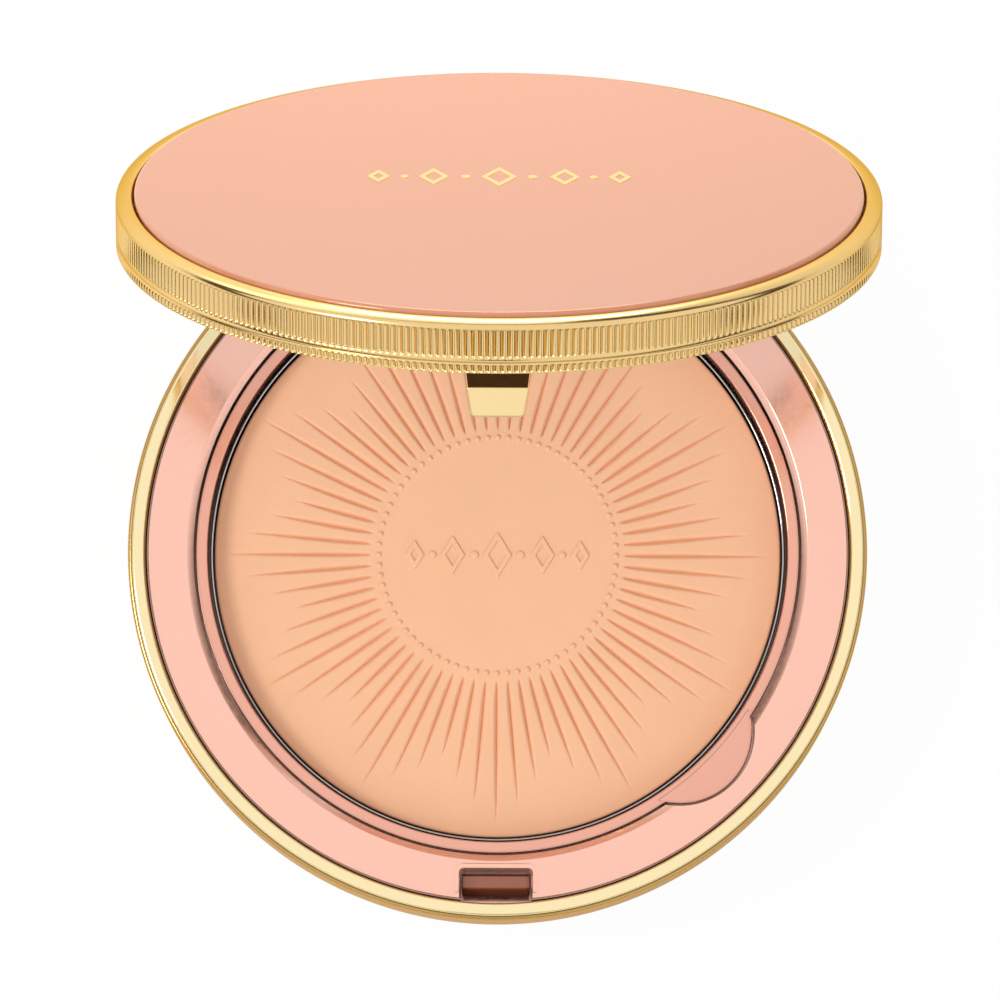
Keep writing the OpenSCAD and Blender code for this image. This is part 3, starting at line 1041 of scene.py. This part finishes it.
def make_rim():
    """A small roll off the flutes that runs into a broad low crown and a thin inner lip."""
    r = CASE_MM
    z0 = PART_Z / MM + BAND_TOP
    lip = DISC_R / MM + 0.15
    crown_mid = z0 + (ROLL_R - CROWN_R) * math.sin(math.radians(60))
    rows = [(r - BAND_WALL, z0), (r, z0)]
    rows += arc(r - ROLL_R, z0, ROLL_R, 0, 55, 8)
    rows += arc(r - ROLL_R / 2 - CROWN_R / 2, crown_mid, CROWN_R, 60, 92, 10)
    rows += arc(lip + 0.28, crown_mid + CROWN_R - 0.28, 0.28, 88, 180, 8)
    rows += [(lip, z0 - 1.15), (r - BAND_WALL, z0 - 1.15)]
    rim = as_object(spun(spread(rows), steps=360), "lid_bezel_rolled")
    swing_open(rim)
    return dress(rim, gold_bezel, "lid", sharp=50)


rim = make_rim()

# %% [markdown]
# ## Lid disc
# The lid's face is a lacquered disc with a very low dome and a softly rolled edge.

# %% Lid disc


def make_disc():
    low, high = shut_box("lid_disc")
    r = DISC_R / MM
    z1 = high.z / MM
    dome = 0.1
    edge_z = z1 - dome
    outline = [(0, low.z / MM), (r, low.z / MM)] + arc(r - 0.4, edge_z - 0.4, 0.4, 0, 88, 10)
    flat = r - 0.4
    outline += [(flat * (1 - i / 16), edge_z + dome * (1 - (1 - i / 16) ** 2)) for i in range(1, 17)]
    disc = as_object(spun(spread(outline), steps=256, closed=False), "lid_disc_lacquered")
    swing_open(disc)
    return dress(disc, rose_lacquer, "lid", ["lid_disc"], sharp=40)


disc = make_disc()


def make_lid_ornament():
    z1 = shut_box("lid_disc")[1].z
    bm = lozenge_row(13.2 * MM, 2.9 * MM, 0.55 * MM, 0.06 * MM)
    bmesh.ops.translate(bm, vec=(0, 3.0 * MM, z1 - 0.035 * MM), verts=bm.verts[:])
    piece = as_object(bm, "lid_ornament")
    swing_open(piece)
    return dress(piece, gold_foil, "lid", sharp=60)


make_lid_ornament()

# %% [markdown]
# ## Latch hook
# The hook is a polished tapered tongue. Its lower part is a raised pad with bevelled
# edges, and the narrow step above the pad stays dark.

# %% Latch hook


PAD_LEAN = math.radians(5)


def tongue(half_top, half_low, z_top, z_low, y_out, y_in, corner):
    """A tapered plate with rounded lower corners, between two y planes in metres."""
    bm = bmesh.new()
    outline = [(-half_top, z_top), (-half_low, z_low), (half_low, z_low), (half_top, z_top)]
    verts = [bm.verts.new((x, y_out, z)) for x, z in outline]
    face = bm.faces.new(verts)
    bmesh.ops.bevel(bm, geom=verts[1:3], offset=corner, offset_type="OFFSET", segments=6,
                    profile=0.5, affect="VERTICES", material=-1)
    bm.faces.ensure_lookup_table()
    face = bm.faces[0]
    wall = bmesh.ops.extrude_face_region(bm, geom=[face])
    moved = [g for g in wall["geom"] if isinstance(g, bmesh.types.BMVert)]
    bmesh.ops.translate(bm, vec=(0, y_in - y_out, 0), verts=moved)
    bmesh.ops.recalc_face_normals(bm, faces=bm.faces[:])
    return bm


def make_hook():
    low, high = shut_box("latch_hook")
    outer = low.y
    inner = outer + 0.5 * MM
    step = 0.34 * MM
    plate = tongue(high.x, 2.6 * MM, high.z, low.z, outer + step, inner, 0.45 * MM)
    piece = as_object(plate, "latch_hook_polished")
    soften(piece, 0.06 * MM, 2, angle=40)
    pad_top = PART_Z - 2.15 * MM
    pad_bm = tongue(3.05 * MM, 2.52 * MM, pad_top, low.z + 0.08 * MM, outer, outer + 0.45 * MM,
                    0.4 * MM)
    bmesh.ops.rotate(pad_bm, verts=pad_bm.verts[:], cent=(0, outer, low.z),
                     matrix=Matrix.Rotation(-PAD_LEAN, 3, "X"))
    pad = as_object(pad_bm, "pad")
    soften(pad, 0.2 * MM, 4, angle=40)
    bm = bmesh.new()
    bm.from_mesh(pad.data)
    bpy.data.objects.remove(pad)
    carve(piece, bm, "UNION")
    barb = block(-2.1 * MM, 2.1 * MM, inner - 0.1 * MM, inner + 0.3 * MM,
                 low.z + 0.4 * MM, low.z + 0.9 * MM)
    carve(piece, barb, "UNION")
    swing_open(piece)
    return dress(piece, gold_hook, "lid", ["latch_hook"], sharp=35)


make_hook()

# %% [markdown]
# ## Mirror, mirror frame and hinge
# These already have their exact shape in the construction model, so they keep it and
# only gain their finishes.

# %% Finishes for the carried-over parts
CARRIED = {
    "bottom_disc": rose_gloss, "puff_well": rose_matte, "base_knuckles": gold_satin,
    "hinge_pin": steel, "tray_pin": steel, "pan_adhesive": adhesive,
    "disc_adhesive": adhesive, "lid_core": rose_matte, "mirror_frame": rose_lid,
    "mirror_glass": mirror_silver, "mirror_adhesive": adhesive, "hinge_leaf": gold_bezel,
}
for node, material in CARRIED.items():
    mesh = frame["nodes"][node].data
    mesh.materials.clear()
    mesh.materials.append(material)
print(len(CARRIED), "construction parts keep their shape")

# %% [markdown]
# ## Powder puff
# The puff is a round foam pad that fills the well under the tray. It lies flat on its
# underside, its top is crowned, and its two faces meet in a tucked seam round the side.

# %% Powder puff
PUFF_CROWN = 0.6
SEAM_TUCK = 0.35
SEAM_HALF_DEG = 14


def make_puff():
    low, high = [Vector(c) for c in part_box("powder_puff")]
    r = high.x / MM
    z0, z1 = low.z / MM, high.z / MM
    half = (z1 - z0 - PUFF_CROWN) / 2
    mid = z0 + half
    flat = r - half
    outline = ([(0, z0), (flat / 2, z0)] + arc(flat, mid, half, -90, -SEAM_HALF_DEG, 8)
               + [(r - SEAM_TUCK, mid)] + arc(flat, mid, half, SEAM_HALF_DEG, 90, 8))
    for share in (0.85, 0.7, 0.55, 0.4, 0.25, 0.1, 0.0):
        outline.append((flat * share, mid + half + PUFF_CROWN * (1 - share ** 2)))
    puff = as_object(spun(spread(outline), steps=128, closed=False), "powder_puff_foam")
    dress(puff, puff_foam, "base", ["powder_puff"], sharp=60)
    return puff


puff = make_puff()

# %% [markdown]
# ## Studio
# A white floor and an even white surround give a plain catalogue view. Metal needs
# something dark to reflect, so the surround that glossy rays see has a soft dark band
# low on the horizon and a dimmer patch towards the front.

# %% Floor
GLOW_MIRRORED = 0.3
GLOW_SEEN = 0.95


def make_floor():
    bm = bmesh.new()
    bmesh.ops.create_grid(bm, x_segments=1, y_segments=1, size=3.0)
    floor = as_object(bm, "floor")
    material = bpy.data.materials.new("floor_white")
    material.use_nodes = True
    tree = material.node_tree
    shader = tree.nodes["Principled BSDF"]
    shader.inputs["Base Color"].default_value = (0.9, 0.9, 0.9, 1)
    shader.inputs["Roughness"].default_value = 1.0
    shader.inputs["Specular IOR Level"].default_value = 0.0
    glow = tree.nodes.new("ShaderNodeEmission")
    rays = tree.nodes.new("ShaderNodeLightPath")
    mirrored = math_node(tree, "MAXIMUM", rays.outputs["Is Glossy Ray"],
                         rays.outputs["Is Transmission Ray"])
    share = math_node(tree, "MAXIMUM", math_node(tree, "MULTIPLY", mirrored, GLOW_MIRRORED),
                      math_node(tree, "MULTIPLY", rays.outputs["Is Camera Ray"], GLOW_SEEN))
    mix = tree.nodes.new("ShaderNodeMixShader")
    tree.links.new(share, mix.inputs[0])
    tree.links.new(shader.outputs[0], mix.inputs[1])
    tree.links.new(glow.outputs[0], mix.inputs[2])
    tree.links.new(mix.outputs[0], tree.nodes["Material Output"].inputs[0])
    floor.data.materials.append(material)
    return floor


floor = make_floor()

# %% World


def ramp_node(tree, value, source, target):
    """Maps a value from one span to another with soft ends."""
    node = tree.nodes.new("ShaderNodeMapRange")
    node.interpolation_type = "SMOOTHSTEP"
    tree.links.new(value, node.inputs["Value"])
    node.inputs["From Min"].default_value = source[0]
    node.inputs["From Max"].default_value = source[1]
    node.inputs["To Min"].default_value = target[0]
    node.inputs["To Max"].default_value = target[1]
    return node.outputs[0]


WHITE = (1.0, 1.0, 1.0, 1.0)
WARM_DARK = (0.05, 0.026, 0.013, 1.0)
# Heights of a direction between which the dark horizon ends
HORIZON = (0.2, 0.3)
# The dark patch towards the front: where it lies, and the cosines at its edge
PATCH_AT = (0.0, -0.76, 0.65)
PATCH_EDGE = (0.9903, 0.9945)
# Light that matt surfaces get from the front and from behind
FRONT_TO_BACK = (1.25, 0.8)


def color_mix(tree, factor, first, second):
    """Mixes two colours; each may be a socket or a fixed colour."""
    node = tree.nodes.new("ShaderNodeMix")
    node.data_type = "RGBA"
    tree.links.new(factor, node.inputs["Factor"])
    for label, value in (("A", first), ("B", second)):
        if isinstance(value, tuple):
            node.inputs[label].default_value = value
        else:
            tree.links.new(value, node.inputs[label])
    return node.outputs["Result"]


def make_world():
    world = bpy.data.worlds.new("studio")
    bpy.context.scene.world = world
    world.use_nodes = True
    tree = world.node_tree
    background = tree.nodes["Background"]
    coords = tree.nodes.new("ShaderNodeTexCoord")
    parts = tree.nodes.new("ShaderNodeSeparateXYZ")
    tree.links.new(coords.outputs["Generated"], parts.inputs[0])
    band = ramp_node(tree, parts.outputs[2], HORIZON, (0.0, 1.0))
    ahead = tree.nodes.new("ShaderNodeVectorMath")
    ahead.operation = "DOT_PRODUCT"
    tree.links.new(coords.outputs["Generated"], ahead.inputs[0])
    ahead.inputs[1].default_value = PATCH_AT
    card = ramp_node(tree, ahead.outputs["Value"], PATCH_EDGE, (1.0, 0.0))
    studio = math_node(tree, "MULTIPLY", band, card)
    soft = ramp_node(tree, parts.outputs[1], (-0.9, 0.1), FRONT_TO_BACK)
    rays = tree.nodes.new("ShaderNodeLightPath")
    mirrored = color_mix(tree, studio, WARM_DARK, WHITE)
    lit = color_mix(tree, rays.outputs["Is Glossy Ray"], soft, mirrored)
    shown = color_mix(tree, rays.outputs["Is Camera Ray"], lit, WHITE)
    tree.links.new(shown, background.inputs["Color"])
    background.inputs["Strength"].default_value = 1.0
    return world


world = make_world()

# %% Lamps


def add_area(name, place_mm, aim_mm, size_mm, watts):
    data = bpy.data.lights.new(name, "AREA")
    data.shape = "RECTANGLE"
    data.size = size_mm[0] * MM
    data.size_y = size_mm[1] * MM
    data.energy = watts
    lamp = bpy.data.objects.new(name, data)
    lamp.location = Vector(place_mm) * MM
    towards = Vector(aim_mm) * MM - lamp.location
    lamp.rotation_euler = towards.to_track_quat("-Z", "Y").to_euler()
    bpy.context.scene.collection.objects.link(lamp)
    return lamp


add_area("key", (-430, -60, 520), (0, 0, 10), (170, 170), 1.5)
add_area("rear", (-60, 280, 70), (-5, 35, 45), (200, 120), 0.1)
add_area("rear_low", (0, 175, 30), (0, 40, 30), (70, 50), 0.075)
bpy.context.scene.view_settings.view_transform = "Standard"
